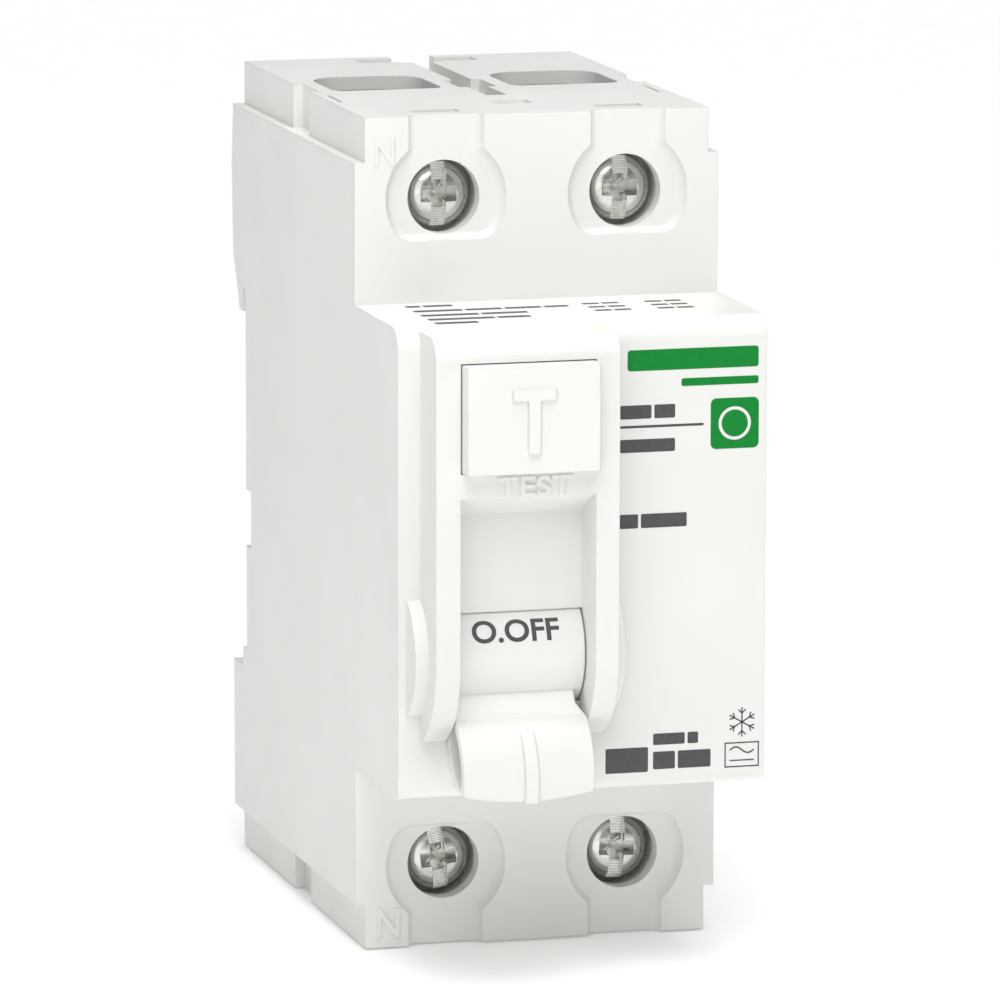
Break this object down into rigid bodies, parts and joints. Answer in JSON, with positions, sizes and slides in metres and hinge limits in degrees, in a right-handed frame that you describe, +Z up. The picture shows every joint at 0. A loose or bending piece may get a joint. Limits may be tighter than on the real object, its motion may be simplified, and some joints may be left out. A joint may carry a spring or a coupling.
{
  "type": "residual current device",
  "caption": "Two-pole residual current device for a DIN rail, with a toggle, a test button and screw terminals at the top and bottom.",
  "frame": {"origin": "middle of the seat that rests on the front of the DIN rail", "axes": "+X to the device's right, the front faces -Y, +Z up; +Y points out of the back into the rail"},
  "size_m": [0.036, 0.0735, 0.0806],
  "materials": {
    "casing_white": "satin moulded plastic",
    "base_grey": "satin moulded plastic",
    "control_white": "satin moulded plastic",
    "nickel": "nickel plated, bright",
    "steel": "zinc plated",
    "spring_steel": "drawn wire",
    "copper": "bare copper",
    "brass": "bare",
    "dark_plastic": "moulded plastic",
    "board_green": "lacquered board",
    "core_grey": "wound strip",
    "wire_blue": "insulated conductor",
    "wire_brown": "insulated conductor",
    "resistor_tan": "lacquered"
  },
  "bodies": {
    "housing": {"front_cover": "casing_white", "rear_base": "base_grey", "pole_divider_upper": "base_grey", "pole_divider_lower": "base_grey", "handle_pin": "steel", "handle_spring": "spring_steel", "test_contact_block": "dark_plastic", "test_contact_strip": "brass", "carrier_pin": "steel", "latch_pin": "steel", "latch_spring": "spring_steel", "trip_relay": "steel", "mechanism_frame": "base_grey", "toroid_case": "dark_plastic", "toroid_lid": "dark_plastic", "toroid_core": "core_grey", "toroid_winding": "copper", "circuit_board": "board_green", "test_resistor": "resistor_tan", "filter_capacitor": "dark_plastic", "primary_conductor_left": "wire_blue", "primary_conductor_right": "wire_brown", "fixed_contact_left": "copper", "lower_busbar_left": "copper", "flexible_braid_left": "copper", "fixed_contact_right": "copper", "lower_busbar_right": "copper", "flexible_braid_right": "copper"},
    "handle": {"toggle_handle": "control_white"},
    "carrier": {"contact_carrier": "dark_plastic", "moving_contact_left": "copper", "moving_contact_right": "copper", "contact_spring_left": "spring_steel", "contact_spring_right": "spring_steel"},
    "link": {"drive_link": "steel"},
    "button": {"test_button": "control_white", "test_button_spring": "spring_steel"},
    "latch": {"trip_latch": "dark_plastic"},
    "plunger": {"relay_plunger": "brass"},
    "clip": {"rail_clip": "dark_plastic"},
    "screw_upper_left": {"terminal_screw_upper_left": "nickel"},
    "cage_upper_left": {"cage_clamp_upper_left": "steel"},
    "screw_upper_right": {"terminal_screw_upper_right": "nickel"},
    "cage_upper_right": {"cage_clamp_upper_right": "steel"},
    "screw_lower_left": {"terminal_screw_lower_left": "nickel"},
    "cage_lower_left": {"cage_clamp_lower_left": "steel"},
    "screw_lower_right": {"terminal_screw_lower_right": "nickel"},
    "cage_lower_right": {"cage_clamp_lower_right": "steel"}
  },
  "joints": [
    {"name": "handle_turn", "type": "hinge", "parent": "housing", "child": "handle", "pos_m": [0, -0.057, -0.0088], "axis": [-1, 0, 0], "range_deg": [0, 85]},
    {"name": "carrier_turn", "type": "hinge", "parent": "housing", "child": "carrier", "pos_m": [0, -0.03, 0.0065], "axis": [1, 0, 0], "range_deg": [-0.5, 20.5]},
    {"name": "link_turn", "type": "hinge", "parent": "carrier", "child": "link", "pos_m": [0, -0.038, 0.002], "axis": [1, 0, 0], "range_deg": [-20.5, 0.5]},
    {"name": "button_press", "type": "slide", "parent": "housing", "child": "button", "axis": [0, 1, 0], "range_m": [0, 0.0015], "stiffness_N_per_m": 500, "springref_m": -0.002, "deforming": ["test_button_spring"]},
    {"name": "latch_turn", "type": "hinge", "parent": "housing", "child": "latch", "pos_m": [0, -0.042, 0.0095], "axis": [-1, 0, 0], "range_deg": [-0.5, 12.5]},
    {"name": "plunger_slide", "type": "slide", "parent": "housing", "child": "plunger", "axis": [0, 0, 1], "range_m": [0, 0.00157], "stiffness_N_per_m": 350, "springref_m": -0.0015},
    {"name": "clip_slide", "type": "slide", "parent": "housing", "child": "clip", "axis": [0, 0, -1], "range_m": [0, 0.003], "stiffness_N_per_m": 2000, "springref_m": -0.002},
    {"name": "screw_turn_upper_left", "type": "hinge", "parent": "housing", "child": "screw_upper_left", "pos_m": [-0.009, -0.041, 0.0324], "axis": [0, 1, 0], "range_deg": [-10, 4160]},
    {"name": "cage_slide_upper_left", "type": "slide", "parent": "housing", "child": "cage_upper_left", "axis": [0, -1, 0], "range_m": [0, 0.0092]},
    {"name": "screw_turn_upper_right", "type": "hinge", "parent": "housing", "child": "screw_upper_right", "pos_m": [0.009, -0.041, 0.0324], "axis": [0, 1, 0], "range_deg": [-10, 4160]},
    {"name": "cage_slide_upper_right", "type": "slide", "parent": "housing", "child": "cage_upper_right", "axis": [0, -1, 0], "range_m": [0, 0.0092]},
    {"name": "screw_turn_lower_left", "type": "hinge", "parent": "housing", "child": "screw_lower_left", "pos_m": [-0.009, -0.041, -0.0324], "axis": [0, 1, 0], "range_deg": [-10, 4160]},
    {"name": "cage_slide_lower_left", "type": "slide", "parent": "housing", "child": "cage_lower_left", "axis": [0, -1, 0], "range_m": [0, 0.0092]},
    {"name": "screw_turn_lower_right", "type": "hinge", "parent": "housing", "child": "screw_lower_right", "pos_m": [0.009, -0.041, -0.0324], "axis": [0, 1, 0], "range_deg": [-10, 4160]},
    {"name": "cage_slide_lower_right", "type": "slide", "parent": "housing", "child": "cage_lower_right", "axis": [0, -1, 0], "range_m": [0, 0.0092]}
  ],
  "couplings": [
    {"joint": "carrier_turn", "follows": "handle_turn", "ratio": 0.23529},
    {"joint": "link_turn", "follows": "handle_turn", "ratio": -0.235},
    {"joint": "latch_turn", "follows": "plunger_slide", "rad_per_m": 133.33},
    {"joint": "screw_turn_upper_left", "follows": "cage_slide_upper_left", "rad_per_m": 7854},
    {"joint": "screw_turn_upper_right", "follows": "cage_slide_upper_right", "rad_per_m": 7854},
    {"joint": "screw_turn_lower_left", "follows": "cage_slide_lower_left", "rad_per_m": 7854},
    {"joint": "screw_turn_lower_right", "follows": "cage_slide_lower_right", "rad_per_m": 7854}
  ]
}
